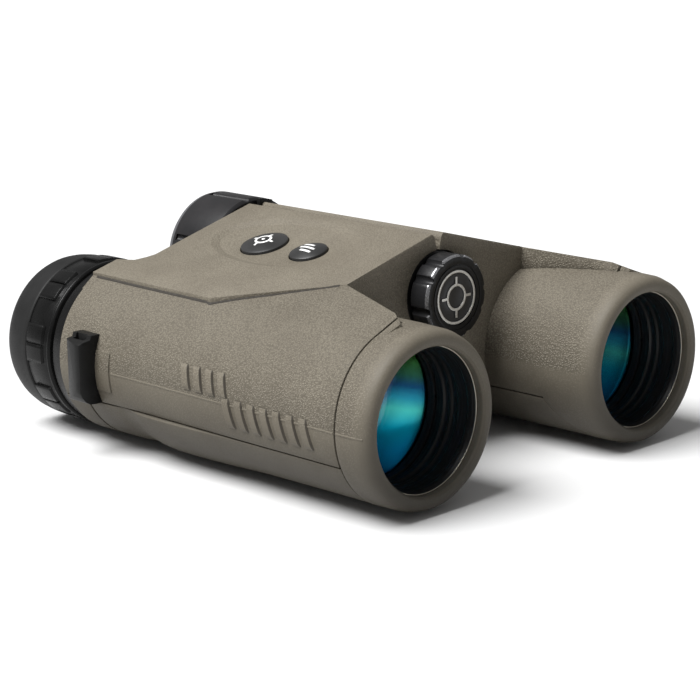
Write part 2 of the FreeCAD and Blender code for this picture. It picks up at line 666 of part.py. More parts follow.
def strap_lug(grip):
    """Moulded bridge on the barrel's side: the strap runs up behind the bar."""
    body = bar_xz(LUG_SIDE, LUG_FRONT - 1, LUG_REAR + 1).common(plate_xy(LUG_PLAN, -20, 20))
    u0, u1, y0, y1 = LUG_SLOT
    body = body.cut(block(u0, u1, y0, y1, -20, 20))
    return body.cut(rod(0, BIG + 30, REAR_ARMOUR_R, -BARREL_X)).cut(grip)


# ---- electronics ------------------------------------------------------------------------
def board():
    """Main circuit board on the floor of the pocket under the deck."""
    return block(POCKET[0] + 0.4, POCKET[1] - 0.4, 44.0, 91.0, POCKET[4] + 0.1, POCKET[4] + 1.6)


def display_panel():
    """Small display that projects the reading into the right barrel."""
    return block(BARREL_X - 6.0, BARREL_X + 6.0, 94.0, 95.2, -15.5, -7.5)


def pocket_can(y0, y1, radius, z):
    """A round module that lies along the pocket."""
    return rod(y0, y1, radius, -(POCKET[0] + POCKET[1]) / 2, z)


# ---- build ------------------------------------------------------------------------------
envelope = barrel_envelope()
grip = side_grip(envelope)
save_pair("main_armour", main_armour(envelope))
save_pair("side_grip", grip)
save_pair("belly_pad", belly_pad())
save("right_deck", right_deck())
save("left_deck", mirrored(deck(True)))
save("left_wheel_cowl", mirrored(wheel_cowl()))
save("right_chassis", chassis((0, 2), HINGE_TUBE_R))
save("left_chassis", mirrored(chassis((1,), HINGE_TUBE_R + RUN)))
save("hinge_tube", hinge_tube())
save("hinge_washers", hinge_washers())

save("battery_cap", battery_cap())
save("cap_badge", cap_badge())
save("cap_seal", cap_seal())
save("battery", battery())
save("battery_contact", contact_plate())

save("focus_wheel", focus_wheel())
save("focus_shaft", focus_shaft())
save("wheel_cap", wheel_cap())
save("shaft_bush", ring(92.0, TUBE_REAR, HINGE_TUBE_IN - 0.02, SHAFT_R + RUN, 0, HINGE_Z))
save("focus_nut", ring(80.0, 85.0, HINGE_TUBE_IN - 0.35, SHAFT_R + RUN, 0, HINGE_Z))

save("range_button", button(RANGE_Y, RANGE_R))
save("mode_button", button(MODE_Y, MODE_R))
save("button_switches", switches())
save("circuit_board", board())
save("laser_emitter", mirrored(pocket_can(46.0, 62.0, 3.6, POCKET[4] + 3.9)))
save("laser_receiver", mirrored(pocket_can(66.0, 86.0, 3.6, POCKET[4] + 3.9)))

save("display_panel", display_panel())

save_pair("objective_sleeve", objective_sleeve())
save_pair("retaining_ring", retaining_ring())
save_pair("objective_lens", lens(LENS_Y + 3.0, CHASSIS_IN - 0.15, 4.4, 2.2, 1.4))
save_pair("objective_cell", objective_cell())
save_pair("focus_cell", focus_cell())
save_pair("focus_lens", lens(40.0, 12.95, 4.0, -0.8, -0.8))
save_pair("prism_cage", prism_cage())
save_pair("front_prism", prism(55.0, [(-12, 0), (9, 0), (12, 3), (12, 6), (-4, 14), (-12, 14)]))
save_pair("rear_prism", prism(71.0, [(12, 17), (-9, 17), (-12, 14), (-12, 11), (2, 0), (12, 0)]))
save_pair("field_lens", lens(103.0, 15.1, 3.0, 1.5, 1.0))
save_pair("eyepiece_housing", eyepiece_housing())
save_pair("eye_lens", lens(121.0, 15.1, 3.0, 1.2, 1.6))
save_pair("diopter_ring", diopter_ring())
save_pair("eyecup", eyecup())
save_pair("strap_lug", strap_lug(grip))
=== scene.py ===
import json
import math

import bpy
import bmesh
from mathutils import Matrix, Vector
from mathutils.bvhtree import BVHTree


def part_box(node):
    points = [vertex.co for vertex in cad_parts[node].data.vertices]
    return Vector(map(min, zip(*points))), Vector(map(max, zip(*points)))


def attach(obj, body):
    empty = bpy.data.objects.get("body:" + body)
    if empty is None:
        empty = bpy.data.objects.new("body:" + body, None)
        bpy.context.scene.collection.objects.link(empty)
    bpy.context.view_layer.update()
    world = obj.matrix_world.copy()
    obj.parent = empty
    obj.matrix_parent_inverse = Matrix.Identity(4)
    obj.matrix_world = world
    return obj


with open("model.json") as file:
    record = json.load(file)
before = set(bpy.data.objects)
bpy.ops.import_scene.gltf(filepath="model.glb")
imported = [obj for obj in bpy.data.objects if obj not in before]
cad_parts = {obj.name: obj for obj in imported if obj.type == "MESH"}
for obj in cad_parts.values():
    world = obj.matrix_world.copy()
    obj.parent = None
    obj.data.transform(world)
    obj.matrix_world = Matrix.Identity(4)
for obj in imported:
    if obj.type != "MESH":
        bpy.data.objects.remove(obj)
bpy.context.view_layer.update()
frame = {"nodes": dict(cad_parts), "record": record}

# ---- places, read from the frame (metres) -----------------------------------------------
MM = 0.001
SIDES = ("right", "left")


def middle(node):
    """Centre of a CAD node's box."""
    low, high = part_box(node)
    return (low + high) / 2


def sign(side):
    """-1 for the right half, which is at -X, and 1 for the left half."""
    return -1 if side == "right" else 1


AXIS_X = middle("left_objective_lens").x
AXIS_Z = middle("left_objective_lens").z
HINGE_Z = middle("hinge_tube").z
LIP_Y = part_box("right_main_armour")[0].y
OBJECTIVE_R = 16.0 * MM       # clear radius of the objective


def barrel_point(side, y, angle, radius):
    """A point round a barrel. The angle is in degrees, 0 at the outer side and 90 on top."""
    a = math.radians(angle)
    x = sign(side) * (AXIS_X + radius * math.cos(a))
    return Vector((x, y, AXIS_Z + radius * math.sin(a)))


# ---- node helpers -----------------------------------------------------------------------
class Shader:
    """A material with a Principled shader and short calls for the nodes it needs."""

    def __init__(self, name, color, roughness, metallic=0.0):
        self.material = bpy.data.materials.new(name)
        self.material.use_nodes = True
        self.tree = self.material.node_tree
        self.tree.nodes.clear()
        self.bsdf = self.add("ShaderNodeBsdfPrincipled")
        self.out = self.add("ShaderNodeOutputMaterial")
        self.link(self.bsdf.outputs["BSDF"], self.out.inputs["Surface"])
        self.set("Base Color", (*color, 1.0))
        self.set("Roughness", roughness)
        self.set("Metallic", metallic)
        self.coords = self.add("ShaderNodeTexCoord").outputs["Object"]

    def add(self, kind):
        return self.tree.nodes.new(kind)

    def link(self, a, b):
        self.tree.links.new(a, b)

    def set(self, socket, value):
        self.bsdf.inputs[socket].default_value = value

    def noise(self, size_mm, detail=2.0, rough=0.5):
        node = self.add("ShaderNodeTexNoise")
        node.inputs["Scale"].default_value = 1.0 / (size_mm * MM)
        node.inputs["Detail"].default_value = detail
        node.inputs["Roughness"].default_value = rough
        self.link(self.coords, node.inputs["Vector"])
        return node.outputs["Fac"]

    def cells(self, size_mm, smooth=0.4):
        node = self.add("ShaderNodeTexVoronoi")
        node.feature = "SMOOTH_F1"
        node.inputs["Scale"].default_value = 1.0 / (size_mm * MM)
        node.inputs["Smoothness"].default_value = smooth
        self.link(self.coords, node.inputs["Vector"])
        return node.outputs["Distance"]

    def turned_lines(self, line_mm, distortion):
        """Bands along Y, as a lathe leaves them. They lie about 1.9 times line_mm apart."""
        node = self.add("ShaderNodeTexWave")
        node.bands_direction = "Y"
        node.inputs["Scale"].default_value = 1.0 / (line_mm * MM) / 6.0
        node.inputs["Distortion"].default_value = distortion
        self.link(self.coords, node.inputs["Vector"])
        return node.outputs["Fac"]

    def ramp(self, value, stops):
        node = self.add("ShaderNodeValToRGB")
        elements = node.color_ramp.elements
        while len(elements) < len(stops):
            elements.new(0.5)
        for element, (place, color) in zip(elements, stops):
            element.position = place
            element.color = (*color, 1.0) if len(color) == 3 else color
        self.link(value, node.inputs["Fac"])
        return node.outputs["Color"]

    def grey(self, value, low, high, at_low=0.3, at_high=0.7):
        return self.ramp(value, [(at_low, (low,) * 3), (at_high, (high,) * 3)])

    def mix(self, factor, a, b, blend="MIX"):
        node = self.add("ShaderNodeMix")
        node.data_type = "RGBA"
        node.blend_type = blend
        for value, index in ((factor, 0), (a, 6), (b, 7)):
            if hasattr(value, "links"):
                self.link(value, node.inputs[index])
            elif index == 0:
                node.inputs[index].default_value = value
            else:
                node.inputs[index].default_value = (*value, 1.0)
        return node.outputs[2]

    def math(self, operation, a, b=0.0, c=0.0):
        node = self.add("ShaderNodeMath")
        node.operation = operation
        for value, index in ((a, 0), (b, 1), (c, 2)):
            if hasattr(value, "links"):
                self.link(value, node.inputs[index])
            else:
                node.inputs[index].default_value = value
        return node.outputs[0]

    def axis(self, name):
        node = self.add("ShaderNodeSeparateXYZ")
        self.link(self.coords, node.inputs[0])
        return node.outputs[name]

    def bump(self, height, distance_mm, strength=1.0, under=None):
        node = self.add("ShaderNodeBump")
        node.inputs["Distance"].default_value = distance_mm * MM
        if hasattr(strength, "links"):
            self.link(strength, node.inputs["Strength"])
        else:
            node.inputs["Strength"].default_value = strength
        self.link(height, node.inputs["Height"])
        if under is not None:
            self.link(under, node.inputs["Normal"])
        self.link(node.outputs["Normal"], self.bsdf.inputs["Normal"])
        return node.outputs["Normal"]

    def feed(self, output, socket):
        self.link(output, self.bsdf.inputs[socket])


# ---- materials --------------------------------------------------------------------------
OLIVE = (0.160, 0.141, 0.108)
OLIVE_DARK = (0.140, 0.122, 0.093)
OLIVE_LIGHT = (0.29, 0.262, 0.208)
OLIVE_PIT = (0.075, 0.065, 0.048)


def armour_material(name, grain_mm, depth_mm, fleck, tone=1.0):
    """Olive-tan moulded rubber, stippled above the moulding line and smoother below it.

    The colour also darkens with height and near the lip. That stands in for the way the light
    falls off in the picture being matched, and it is not known to be the rubber's own colour.
    """
    s = Shader(name, OLIVE, 0.6)
    grains = s.cells(grain_mm, 0.3)
    fine = s.noise(grain_mm * 0.45, 2.0, 0.7)
    broad = s.noise(11.0, 3.0, 0.5)
    height_mm = s.math("MULTIPLY_ADD", s.axis("Z"), 1.0 / MM, -AXIS_Z / MM)
    depth_in = s.math("MULTIPLY_ADD", s.axis("Y"), 1.0 / MM, -LIP_Y / MM)
    above = s.grey(s.math("MULTIPLY_ADD", height_mm, 0.25, 0.5), 0.25, 1.0)
    behind_lip = s.grey(s.math("MULTIPLY", depth_in, 0.1), 0.15, 1.0, 0.15, 0.55)
    stipple = s.math("MULTIPLY", above, behind_lip)
    shade = s.grey(s.math("MULTIPLY_ADD", height_mm, 0.03, 0.7), 0.42, 1.0, 0.28, 0.92)
    lip_shade = s.grey(s.math("MULTIPLY", depth_in, 0.1), 0.72, 1.0, 0.02, 0.35)
    tint = s.mix(s.grey(broad, 0.0, 1.0, 0.35, 0.65), OLIVE_DARK, OLIVE)
    tint = s.mix(1.0, tint, (tone,) * 3, "MULTIPLY")
    tint = s.mix(1.0, tint, s.mix(1.0, shade, lip_shade, "MULTIPLY"), "MULTIPLY")
    crown = s.grey(grains, 1.0, 0.0, 0.1, 0.5)
    sparkle = s.math("MULTIPLY", crown, s.grey(fine, 0.0, 1.0, 0.4, 0.62))
    light = s.math("MULTIPLY", sparkle, stipple)
    # Painted shade rides in the tint here, darker towards the bottom and near the lip; the lighter
    # flecks go on top of it.
    flecked_and_shaded = s.mix(s.math("MULTIPLY", light, fleck), tint, OLIVE_LIGHT)
    pits = s.math("MULTIPLY", s.grey(grains, 0.0, 1.0, 0.4, 0.75), stipple)
    s.feed(s.mix(s.math("MULTIPLY", pits, fleck), flecked_and_shaded, OLIVE_PIT), "Base Color")
    height = s.math("MULTIPLY_ADD", crown, 1.0, s.math("MULTIPLY", fine, 0.7))
    s.bump(height, depth_mm, s.math("MULTIPLY", stipple, 0.9))
    s.feed(s.grey(fine, 0.5, 0.7), "Roughness")
    s.set("Specular IOR Level", 0.3)
    return s.material


def black_material(name, tone, low, high, grain_mm, depth_mm, specular):
    """Black finish with a fine grain, faint blotches and slightly uneven gloss."""
    s = Shader(name, (tone, tone, tone * 1.04), (low + high) / 2)
    grain = s.noise(grain_mm, 4.0, 0.6)
    blotch = s.noise(6.0, 2.0, 0.5)
    s.feed(s.mix(s.grey(blotch, 0.0, 1.0), (tone * 0.75,) * 3, (tone * 1.3,) * 3), "Base Color")
    s.feed(s.grey(grain, low, high), "Roughness")
    s.bump(grain, depth_mm, 0.5)
    s.set("Specular IOR Level", specular)
    return s.material


def ribbed_black(name):
    """Black anodised tube with fine turned lines that break up stray light."""
    s = Shader(name, (0.009, 0.009, 0.01), 0.4)
    lines = s.turned_lines(0.5, 0.3)
    s.bump(lines, 0.04, 0.6)
    s.feed(s.grey(s.noise(1.5, 3.0), 0.32, 0.45), "Roughness")
    s.feed(s.mix(lines, (0.006,) * 3, (0.01,) * 3), "Base Color")
    s.set("Specular IOR Level", 0.35)
    return s.material


def machined_material(name, color, roughness):
    """Turned metal: fine rings round the part, in steps along Y."""
    s = Shader(name, color, roughness, 1.0)
    s.bump(s.turned_lines(0.18, 0.6), 0.02, 0.5)
    s.feed(s.grey(s.noise(2.0, 3.0), roughness * 0.8, roughness * 1.3), "Roughness")
    return s.material


CAP_EDGE_WIDTH = 0.5 * MM     # rubbed front edge of the cap: width and depth
CAP_EDGE_DEPTH = 0.75 * MM
CAP_FACE_DEPTH = 0.3 * MM     # the cap is darker down to here
BADGE_RELIEF = 0.2 * MM       # the badge is silver down to here
WHEEL_RIM_DEPTH = 2.7 * MM    # lighter rear rim of the wheel: depth and inner radius
WHEEL_RIM_R = 12.0 * MM


def radius_from_hinge(s):
    """Shader value: distance from the hinge axis."""
    x = s.axis("X")
    z = s.math("SUBTRACT", s.axis("Z"), HINGE_Z)
    return s.math("SQRT", s.math("ADD", s.math("MULTIPLY", x, x), s.math("MULTIPLY", z, z)))


def cap_material():
    """Black anodised cap: darker face, lighter sides and a thin rubbed front edge."""
    low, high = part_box("battery_cap")
    edge_r = (high.x - low.x) / 2 - CAP_EDGE_WIDTH
    s = Shader("anodised_cap", (0.01, 0.01, 0.011), 0.3)
    depth = s.math("SUBTRACT", s.axis("Y"), low.y)
    front = s.math("LESS_THAN", depth, CAP_EDGE_DEPTH)
    rim = s.math("GREATER_THAN", radius_from_hinge(s), edge_r)
    edge = s.math("MULTIPLY", front, rim)
    grain = s.noise(0.5, 4.0, 0.6)
    side_tone = s.math("SUBTRACT", 1.0, s.math("LESS_THAN", depth, CAP_FACE_DEPTH))
    body = s.mix(side_tone, (0.003, 0.003, 0.0035), (0.015, 0.015, 0.016))
    rubbed = s.math("MULTIPLY", edge, s.grey(grain, 0.5, 1.0))
    s.feed(s.mix(rubbed, body, (0.3, 0.3, 0.31)), "Base Color")
    s.feed(s.math("MULTIPLY_ADD", edge, -0.06, s.grey(grain, 0.26, 0.38)), "Roughness")
    s.feed(s.math("MULTIPLY", edge, 0.7), "Metallic")
    s.bump(grain, 0.01, 0.5)
    s.set("Specular IOR Level", 0.25)
    return s.material


def badge_material():
    """Bright raised marks on a black disc."""
    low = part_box("cap_badge")[0].y
    s = Shader("badge", (0.6, 0.59, 0.56), 0.34)
    raised = s.math("LESS_THAN", s.math("SUBTRACT", s.axis("Y"), low), BADGE_RELIEF)
    grain = s.noise(0.4, 4.0, 0.6)
    silver = s.mix(s.grey(grain, 0.0, 1.0), (0.5, 0.49, 0.46), (0.66, 0.65, 0.62))
    s.feed(s.mix(raised, (0.01, 0.01, 0.011), silver), "Base Color")
    s.feed(s.math("MULTIPLY", raised, 0.75), "Metallic")
    s.feed(s.grey(grain, 0.3, 0.44), "Roughness")
    s.bump(grain, 0.008, 0.4)
    return s.material


def wheel_material():
    """Black wheel with a lighter rim at its rear edge."""
    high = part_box("focus_wheel")[1].y
    s = Shader("focus_wheel", (0.013, 0.013, 0.014), 0.4)
    grain = s.noise(0.35, 4.0, 0.6)
    behind = s.math("LESS_THAN", s.math("SUBTRACT", high, s.axis("Y")), WHEEL_RIM_DEPTH)
    outer = s.math("GREATER_THAN", radius_from_hinge(s), WHEEL_RIM_R)
    rim = s.math("MULTIPLY", behind, outer)
    side = s.mix(s.grey(s.noise(5.0), 0.0, 1.0), (0.007, 0.007, 0.008), (0.012, 0.011, 0.012))
    s.feed(s.mix(rim, side, (0.085, 0.085, 0.09)), "Base Color")
    s.feed(s.grey(grain, 0.34, 0.48), "Roughness")
    s.bump(grain, 0.015, 0.5)
    s.set("Specular IOR Level", 0.35)
    return s.material


def coating_and_reflection_material(side):
    """Mirror-like lens coating. Its colour is partly the tint of a multi-coated lens and partly
    painted reflection: green, blue and teal stripes with a bright teal one and a pale lavender
    patch, laid out by place on the lens.
    """
    s = Shader(side + "_lens_coating_and_painted_reflection", (0.05, 0.3, 0.5), 0.16, 0.9)
    per_metre = 1.0 / OBJECTIVE_R
    out_x = s.math("MULTIPLY_ADD", s.axis("X"), per_metre, -sign(side) * AXIS_X / OBJECTIVE_R)
    up_z = s.math("MULTIPLY_ADD", s.axis("Z"), per_metre, -AXIS_Z / OBJECTIVE_R)
    wobble = s.math("MULTIPLY_ADD", s.noise(16.0, 1.0), 0.2, -0.1)
    slant = s.math("MULTIPLY_ADD", out_x, 0.22, s.math("ADD", up_z, wobble))
    place = s.math("MULTIPLY_ADD", slant, 0.42, 0.5)
    # Painted reflection: stripes of colour down the lens, with a bright teal stripe, stand in for
    # reflections in the coated glass.
    bands = s.ramp(place, [
        (0.05, (0.0, 0.34, 0.80)), (0.24, (0.0, 0.46, 0.90)), (0.37, (0.0, 0.58, 0.82)),
        (0.48, (0.10, 0.82, 0.72)), (0.55, (0.03, 0.42, 0.58)), (0.63, (0.008, 0.085, 0.22)),
        (0.70, (0.03, 0.15, 0.09)), (0.82, (0.07, 0.27, 0.05)), (0.96, (0.025, 0.09, 0.03))])
    # Painted reflection: a pale lavender patch high on one side of the lens.
    toward_axis = s.math("MULTIPLY_ADD", up_z, -0.35, out_x)
    crescent_reflection = s.math("MULTIPLY", s.grey(toward_axis, 0.9, 0.0, 0.22, 0.44),
                      s.grey(s.math("MULTIPLY_ADD", up_z, 0.5, 0.5), 0.0, 1.0, 0.4, 0.52))
    s.feed(s.mix(crescent_reflection, bands, (0.30, 0.34, 0.62)), "Base Color")
    s.feed(s.grey(s.noise(9.0, 2.0), 0.1, 0.2), "Roughness")
    return s.material


def glass_material(name, tint, gloss_tint, base=0.06):
    """Thin clear glass: light passes straight, and the surface adds a tinted reflection."""
    s = Shader(name, tint, 0.03)
    clear = s.add("ShaderNodeBsdfTransparent")
    clear.inputs["Color"].default_value = (*tint, 1.0)
    gloss = s.add("ShaderNodeBsdfGlossy")
    gloss.inputs["Color"].default_value = (*gloss_tint, 1.0)
    gloss.inputs["Roughness"].default_value = 0.02
    facing = s.add("ShaderNodeFresnel")
    facing.inputs["IOR"].default_value = 1.5
    amount = s.math("MULTIPLY_ADD", facing.outputs[0], 0.6, base)
    smear = s.math("MULTIPLY", s.grey(s.noise(7.0, 3.0), 0.8, 1.0), amount)
    mix = s.add("ShaderNodeMixShader")
    s.link(smear, mix.inputs[0])
    s.link(clear.outputs[0], mix.inputs[1])
    s.link(gloss.outputs[0], mix.inputs[2])
    s.link(mix.outputs[0], s.out.inputs["Surface"])
    return s.material


def plain_material(name, color, roughness, metallic=0.0, grain_mm=0.6, depth_mm=0.01):
    """Moulded or printed finish with a small grain and tone variation."""
    s = Shader(name, color, roughness, metallic)
    grain = s.noise(grain_mm, 3.0)
    dark = tuple(c * 0.85 for c in color)
    light = tuple(min(1.0, c * 1.1) for c in color)
    s.feed(s.mix(s.grey(s.noise(5.0), 0.0, 1.0), dark, light), "Base Color")
    s.feed(s.grey(grain, roughness * 0.85, min(1.0, roughness * 1.15)), "Roughness")
    s.bump(grain, depth_mm, 0.4)
    return s.material


MATERIALS = {
    "armour": armour_material("armour", 0.45, 0.18, 0.75, 0.9),
    "deck": armour_material("deck_rubber", 0.42, 0.10, 0.42),
    "black_plastic": black_material("black_plastic", 0.007, 0.34, 0.48, 0.4, 0.02, 0.16),
    "black_metal": ribbed_black("black_metal"),
    "gloss_black": black_material("gloss_black", 0.004, 0.24, 0.34, 0.8, 0.006, 0.15),
    "rubber": black_material("eyecup_rubber", 0.009, 0.45, 0.6, 0.3, 0.02, 0.2),
    "button_rubber": black_material("button_rubber", 0.02, 0.34, 0.46, 0.3, 0.012, 0.35),
    "alloy": plain_material("cast_alloy", (0.03, 0.03, 0.032), 0.5, 0.4, 0.5, 0.02),
    "brass": machined_material("brass", (0.78, 0.58, 0.28), 0.3),
    "silver": plain_material("silver", (0.72, 0.72, 0.7), 0.3, 0.9, 0.3, 0.008),
    "friction_disc": plain_material("friction_disc", (0.75, 0.73, 0.66), 0.4),
    "cell_wrap": plain_material("cell_wrap", (0.12, 0.18, 0.34), 0.35),
    "board": plain_material("board", (0.02, 0.16, 0.07), 0.4),
    "module": plain_material("module", (0.12, 0.12, 0.13), 0.4, 0.6),
    "coated_glass": glass_material("objective_glass", (0.96, 0.98, 1.0), (0.55, 0.8, 1.0), 0.03),
    "glass": glass_material("inner_glass", (0.84, 0.88, 0.86), (0.5, 0.85, 0.62), 0.0),
}
MARK = plain_material("printed_white", (0.85, 0.85, 0.83), 0.5)
# Painted shade: the flanks of the grip bars are coloured dark brown to stand in for the shadow
# round the raised bars.
RIB_FLANK_SHADE = plain_material("rib_flank_painted_shade", (0.045, 0.038, 0.028), 0.7)
# Painted shadow: a near-black strip laid in the ledge under the deck's edge, where that edge casts
# a shadow.
DECK_SHADOW_STRIP = plain_material("deck_edge_painted_shadow", (0.022, 0.018, 0.013), 0.8)
# Painted highlight: bright metal for the thin ring where the objective sleeve meets the lip.
HIGHLIGHT_RING = machined_material("painted_highlight_ring", (0.50, 0.46, 0.39), 0.35)
OWN_MATERIAL = {
    "right_deck": MATERIALS["deck"],
    "left_deck": MATERIALS["deck"],
    "battery_cap": cap_material(),
    "cap_badge": badge_material(),
    "focus_wheel": wheel_material(),
}


def paint(piece, material):
    """One material on the whole piece."""
    piece.data.materials.clear()
    piece.data.materials.append(material)


WELD_GAP = 0.002 * MM
RELIEF_BEVEL_LIMIT = 35       # degrees, on the added relief
PLAIN_ROUNDING_MM = 0.12
ROUNDING_MM = {
    "right_deck": 0.4, "left_deck": 0.4, "right_main_armour": 0.2, "left_main_armour": 0.2,
    "right_side_grip": 0.2, "left_side_grip": 0.2, "right_strap_lug": 0.3, "left_strap_lug": 0.3,
}
DECK_BEVEL_LIMIT = 14         # degrees: the deck's facets meet at shallow angles
BEVEL_LIMIT = 32
GLASS_SLOTS = ("glass", "coated_glass")


def dress_cad_nodes():
    """Give every CAD node its material and welded edges, and small rounded corners or, on
    glass, evened normals."""
    for entry in frame["record"]["subparts"]:
        node = frame["nodes"][entry["node"]]
        paint(node, OWN_MATERIAL.get(entry["node"], MATERIALS[entry["material_slot"]]))
        weld = node.modifiers.new("weld", "WELD")
        weld.merge_threshold = WELD_GAP
        if entry["material_slot"] in GLASS_SLOTS:
            even = node.modifiers.new("even", "WEIGHTED_NORMAL")
            even.weight = 80
            node.data.shade_smooth()
            continue
        bevel = node.modifiers.new("round", "BEVEL")
        bevel.width = ROUNDING_MM.get(entry["node"], PLAIN_ROUNDING_MM) * MM
        bevel.segments = 2
        bevel.limit_method = "ANGLE"
        plate = entry["node"].endswith("_deck")
        bevel.angle_limit = math.radians(DECK_BEVEL_LIMIT if plate else BEVEL_LIMIT)
        bevel.harden_normals = plate
        node.data.shade_smooth()


dress_cad_nodes()


# ---- mesh helpers -----------------------------------------------------------------------
def piece_from(name, points, faces, body, material, smooth=True):
    """A new piece from points and faces, riding on a CAD body."""
    mesh = bpy.data.meshes.new(name)
    mesh.from_pydata([tuple(p) for p in points], [], faces)
    fix = bmesh.new()
    fix.from_mesh(mesh)
    bmesh.ops.recalc_face_normals(fix, faces=fix.faces)
    fix.to_mesh(mesh)
    fix.free()
    if smooth:
        mesh.shade_smooth()
    piece = bpy.data.objects.new(name, mesh)
    bpy.context.collection.objects.link(piece)
    paint(piece, material)
    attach(piece, body)
    return piece


def rounded(piece, width_mm):
    """Small rounded edges."""
    bevel = piece.modifiers.new("round", "BEVEL")
    bevel.width = width_mm * MM
    bevel.segments = 2
    bevel.limit_method = "ANGLE"
    bevel.angle_limit = math.radians(RELIEF_BEVEL_LIMIT)


# ---- objective coatings -----------------------------------------------------------------
COATING_INSET = 1.3 * MM      # from the edge of the glass to the edge of the coating
COATING_BACK = 2.4 * MM       # from the front of the glass to the edge of the coating
COATING_CURVE = 42.0 * MM


def dome_height(r):
    """How far a sphere of the coating's curve falls away at a radius."""
    return COATING_CURVE - math.sqrt(COATING_CURVE ** 2 - r ** 2)


def lens_coating_and_painted_reflection(side):
    """Hollow coated surface inside the objective, seen through its front glass."""
    low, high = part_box(side + "_objective_lens")
    rim = (high.x - low.x) / 2 - COATING_INSET
    centre = Vector((sign(side) * AXIS_X, 0, AXIS_Z))
    edge_y = low.y + COATING_BACK
    rings, turns = 14, 72
    points, faces = [], []
    for i in range(rings + 1):
        r = rim * i / rings
        sag = dome_height(rim) - dome_height(r)
        for j in range(turns):
            a = 2 * math.pi * j / turns
            points.append(centre + Vector((r * math.cos(a), edge_y + sag, r * math.sin(a))))
    for i in range(rings):
        for j in range(turns):
            k = (j + 1) % turns
            inner, outer = i * turns, (i + 1) * turns
            faces.append((inner + j, inner + k, outer + k, outer + j))
    # The surface's colours carry painted reflection, from its material.
    piece = piece_from(side + "_lens_coating_and_painted_reflection", points, faces, side + "_half",
                       coating_and_reflection_material(side))
    weld = piece.modifiers.new("weld", "WELD")
    weld.merge_threshold = 0.001 * MM


for side in SIDES:
    lens_coating_and_painted_reflection(side)


# ---- relief on the barrels' sides -------------------------------------------------------
CAST_FROM_R = 32.0 * MM       # rays start this far from the barrel's axis
SKIN_R = 21.2 * MM            # the skin's radius, used where a ray misses
RIB_ROWS = (                  # bars, first bar in mm from the lip, low and high end in degrees
    (4, 47.0, 3.0, 19.0),
    (7, 19.0, -15.0, 4.0),
)
RIB_PITCH_MM = 4.3
RIB_SLANT_MM = 1.8
RIB_HEIGHT_MM = 0.58
RIB_FOOT_MM = 1.4             # half widths of a bar, at its foot and on top
RIB_TOP_MM = 1.05
RIB_STEPS = 8
FOOT_LIFT_MM = -0.1           # feet of the bars lie under the skin
LINE_RUNS_MM = ((1.6, 9.4), (10.2, 87.6))
LINE_PROFILE = ((-1.0, -0.05), (-0.55, 0.11), (0.15, 0.11), (0.6, -0.05))  # degrees, lift in mm
# The next three shape the strip of painted shadow under the deck's edge.
SHADOW_STRIP_PROFILE_MM = ((-0.3, -0.2), (-0.2, 0.16), (0.35, 0.16), (0.5, -0.1))  # outward, lift
SHADOW_STRIP_STEPS = 24
SHADOW_STRIP_START = 0.95             # share of the way from the widest corner to the front one
ABOVE_ALL_Z = 200.0 * MM
EDGE_R = 16.9 * MM            # bright ring of painted highlight: radius of the ring and of its section
EDGE_SIZE = 0.13 * MM


def probe(nodes):
    """A search tree over the faces of some CAD nodes."""
    points, faces = [], []
    for name in nodes:
        node = frame["nodes"][name]
        base = len(points)
        points += [node.matrix_world @ v.co for v in node.data.vertices]
        faces += [[base + i for i in face.vertices] for face in node.data.polygons]
    return BVHTree.FromPolygons(points, faces)


def on_barrel(tree, side, y, angle, lift_mm):
    """The point on a barrel's skin at a place and angle, lifted off along the radius."""
    start = barrel_point(side, y, angle, CAST_FROM_R)
    centre = barrel_point(side, y, angle, 0.0)
    hit = tree.ray_cast(start, (centre - start).normalized())[0]
    if hit is None:
        hit = barrel_point(side, y, angle, SKIN_R)
    return hit + (start - centre).normalized() * lift_mm * MM


def strip(name, runs, body, material, flank=None):
    """Solid strips in one piece. A run is rows of four points: foot, top, top, foot.

    A flank material, if there is one, goes on every face but the tops.
    """
    points, faces = [], []
    for run in runs:
        base = len(points)
        points += [p for row in run for p in row]
        for step in range(len(run) - 1):
            k = base + step * 4
            for column in range(3):
                faces.append((k + column, k + column + 1, k + column + 5, k + column + 4))
            faces.append((k + 3, k, k + 4, k + 7))
        faces.append((base, base + 1, base + 2, base + 3))
        last = base + (len(run) - 1) * 4
        faces.append((last + 3, last + 2, last + 1, last))
    piece = piece_from(name, points, faces, body, material, smooth=False)
    if flank is not None:
        piece.data.materials.append(flank)
        for face in piece.data.polygons:
            tops = sum(1 for i in face.vertices if i % 4 in (1, 2))
            face.material_index = 0 if tops == 4 else 1
    return piece


def side_ribs(side):
    """Slanted moulded bars on the barrel's side, in two stepped rows. Their flanks carry painted
    shade.
    """
    tree = probe([side + "_side_grip"])
    runs = []
    for count, start_mm, low_angle, high_angle in RIB_ROWS:
        for index in range(count):
            y = LIP_Y + (start_mm + index * RIB_PITCH_MM) * MM
            run = []
            for step in range(RIB_STEPS + 1):
                share = step / RIB_STEPS
                angle = low_angle + (high_angle - low_angle) * share
                centre = y + RIB_SLANT_MM * MM * (share - 0.5)
                taper = min(1.0, 4.0 * share + 0.4, 4.0 * (1.0 - share) + 0.4)
                top = RIB_HEIGHT_MM * taper
                profile = ((-RIB_FOOT_MM, FOOT_LIFT_MM), (-RIB_TOP_MM, top),
                           (RIB_TOP_MM, top), (RIB_FOOT_MM, FOOT_LIFT_MM))
                run.append([on_barrel(tree, side, centre + off * MM, angle, lift)
                            for off, lift in profile])
            runs.append(run)
    piece = strip(side + "_grip_ribs", runs, side + "_half", MATERIALS["deck"], RIB_FLANK_SHADE)
    rounded(piece, PLAIN_ROUNDING_MM)


